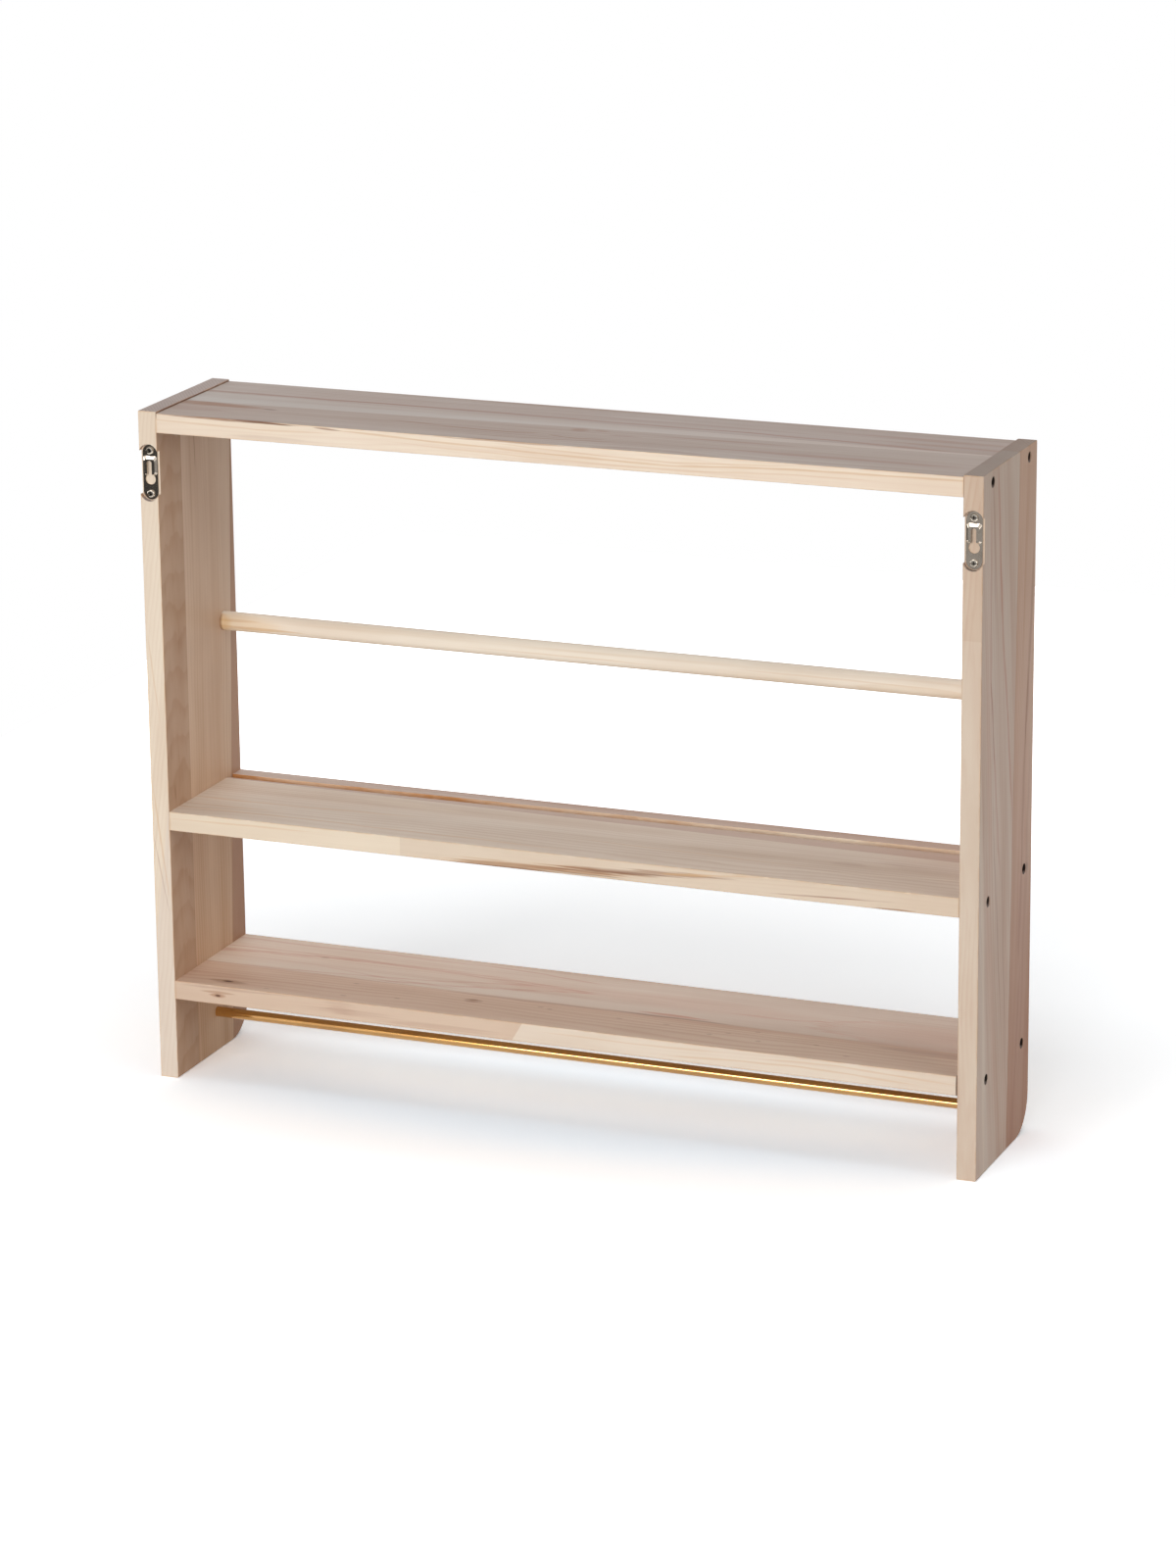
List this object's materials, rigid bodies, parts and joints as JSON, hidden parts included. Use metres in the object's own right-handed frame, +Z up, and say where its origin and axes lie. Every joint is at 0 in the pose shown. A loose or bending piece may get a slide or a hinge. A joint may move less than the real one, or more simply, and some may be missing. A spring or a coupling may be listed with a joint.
{
  "type": "plate shelf",
  "caption": "Wall-hung wooden plate shelf: side panels, shelves with a plate groove, a round wooden rail plates lean on, a brass rod for hooks and keyhole hangers behind.",
  "frame": {"origin": "at floor level under the middle of the shelf, halfway between its front and its wall side", "axes": "+X along the width to the right as seen from the front, +Y to the wall, +Z up"},
  "size_m": [0.8, 0.152, 0.636],
  "materials": {
    "panel_wood": "fine sanded, untreated",
    "shelf_wood": "fine sanded, untreated",
    "rail_wood": "fine sanded, untreated",
    "rod_brass": "polished",
    "hanger_nickel": "nickel plated, pressed",
    "hanger_screw_nickel": "nickel plated",
    "shelf_screw_steel": "dark zinc"
  },
  "bodies": {
    "shelf": {"side_panel_left": "panel_wood", "side_panel_right": "panel_wood", "top_shelf": "shelf_wood", "middle_shelf": "shelf_wood", "lower_shelf": "shelf_wood", "plate_rail": "rail_wood", "hanger_plate_left": "hanger_nickel", "hanger_plate_right": "hanger_nickel", "hanger_screw_left_upper": "hanger_screw_nickel", "hanger_screw_left_lower": "hanger_screw_nickel", "hanger_screw_right_upper": "hanger_screw_nickel", "hanger_screw_right_lower": "hanger_screw_nickel", "shelf_screw_left_top_front": "shelf_screw_steel", "shelf_screw_left_top_back": "shelf_screw_steel", "shelf_screw_left_middle_front": "shelf_screw_steel", "shelf_screw_left_middle_back": "shelf_screw_steel", "shelf_screw_left_lower_front": "shelf_screw_steel", "shelf_screw_left_lower_back": "shelf_screw_steel", "shelf_screw_right_top_front": "shelf_screw_steel", "shelf_screw_right_top_back": "shelf_screw_steel", "shelf_screw_right_middle_front": "shelf_screw_steel", "shelf_screw_right_middle_back": "shelf_screw_steel", "shelf_screw_right_lower_front": "shelf_screw_steel", "shelf_screw_right_lower_back": "shelf_screw_steel"},
    "rod": {"hook_rod": "rod_brass"}
  },
  "joints": [
    {"name": "rod_turn", "type": "hinge", "parent": "shelf", "child": "rod", "pos_m": [0, -0.0105, 0.0385], "axis": [1, 0, 0], "continuous": true}
  ]
}
